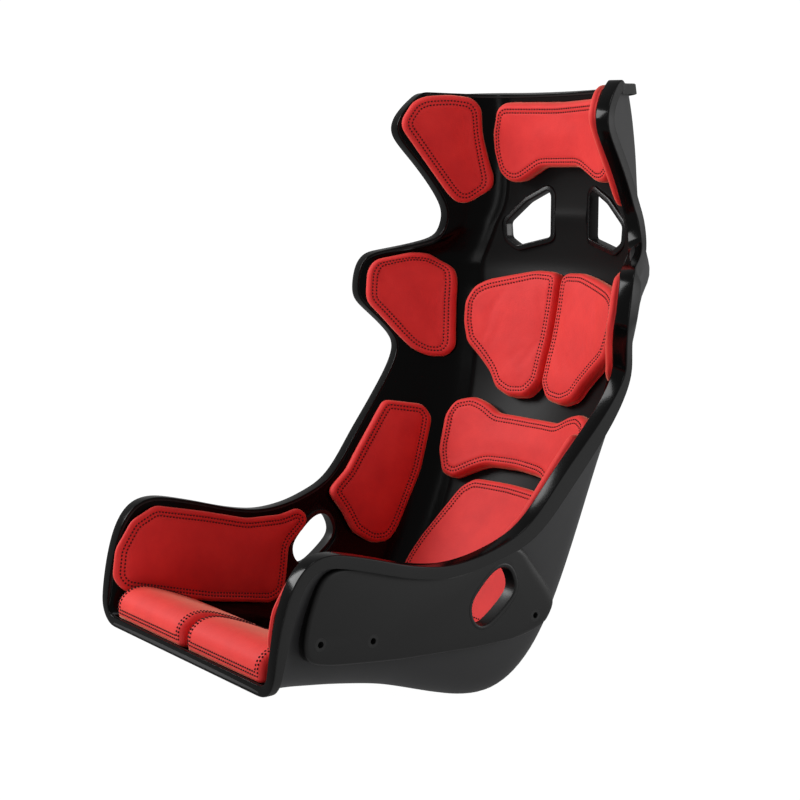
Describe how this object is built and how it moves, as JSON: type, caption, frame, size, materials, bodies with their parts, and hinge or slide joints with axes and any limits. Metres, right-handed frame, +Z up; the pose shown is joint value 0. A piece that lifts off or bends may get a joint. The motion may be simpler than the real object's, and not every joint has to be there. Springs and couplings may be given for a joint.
{
  "type": "racing seat",
  "caption": "Fixed-back bucket racing seat with head and shoulder wings, side mounting panels with threaded inserts, harness openings and leather pads.",
  "frame": {"origin": "centre of the seat's bounding box in plan, at its lowest point, under the hull", "axes": "+X across the seat to the occupant's left, -Y the way the occupant faces, +Z up"},
  "size_m": [0.5834, 0.6741, 0.8021],
  "materials": {
    "inner_laminate": "gloss black gelcoat on fibre laminate, satin on the back panel",
    "outer_laminate": "matte charcoal",
    "rim": "gloss black",
    "mount_panel": "matte charcoal",
    "insert_steel": "blackened steel",
    "slot_trim": "gloss black",
    "hook_strip": "black hook fabric",
    "loop_backing": "black loop fabric",
    "pad_leather": "red leather with dark red double stitching"
  },
  "bodies": {
    "root": {"inner_shell": "inner_laminate", "outer_shell": "outer_laminate", "rim_band": "rim", "side_mount_panel_left": "mount_panel", "side_mount_panel_right": "mount_panel", "mount_inserts": "insert_steel", "harness_slot_trim_left": "slot_trim", "harness_slot_trim_right": "slot_trim", "lap_belt_slot_trim_left": "slot_trim", "lap_belt_slot_trim_right": "slot_trim", "crotch_slot_trim": "slot_trim", "hook_patches": "hook_strip", "head_rear_pad": "pad_leather", "head_side_pad_left": "pad_leather", "head_side_pad_right": "pad_leather", "shoulder_pad_left": "pad_leather", "shoulder_pad_right": "pad_leather", "upper_back_pad_left": "pad_leather", "upper_back_pad_right": "pad_leather", "lumbar_pad": "pad_leather", "lower_back_pad": "pad_leather", "hip_pad_left": "pad_leather", "hip_pad_right": "pad_leather", "thigh_pad_left": "pad_leather", "thigh_pad_right": "pad_leather", "leg_cushion_left": "pad_leather", "leg_cushion_right": "pad_leather", "head_rear_backing": "loop_backing", "head_side_backing_left": "loop_backing", "head_side_backing_right": "loop_backing", "shoulder_backing_left": "loop_backing", "shoulder_backing_right": "loop_backing", "upper_back_backing_left": "loop_backing", "upper_back_backing_right": "loop_backing", "lumbar_backing": "loop_backing", "lower_back_backing": "loop_backing", "hip_backing_left": "loop_backing", "hip_backing_right": "loop_backing", "thigh_backing_left": "loop_backing", "thigh_backing_right": "loop_backing", "leg_backing_left": "loop_backing", "leg_backing_right": "loop_backing"}
  },
  "joints": []
}
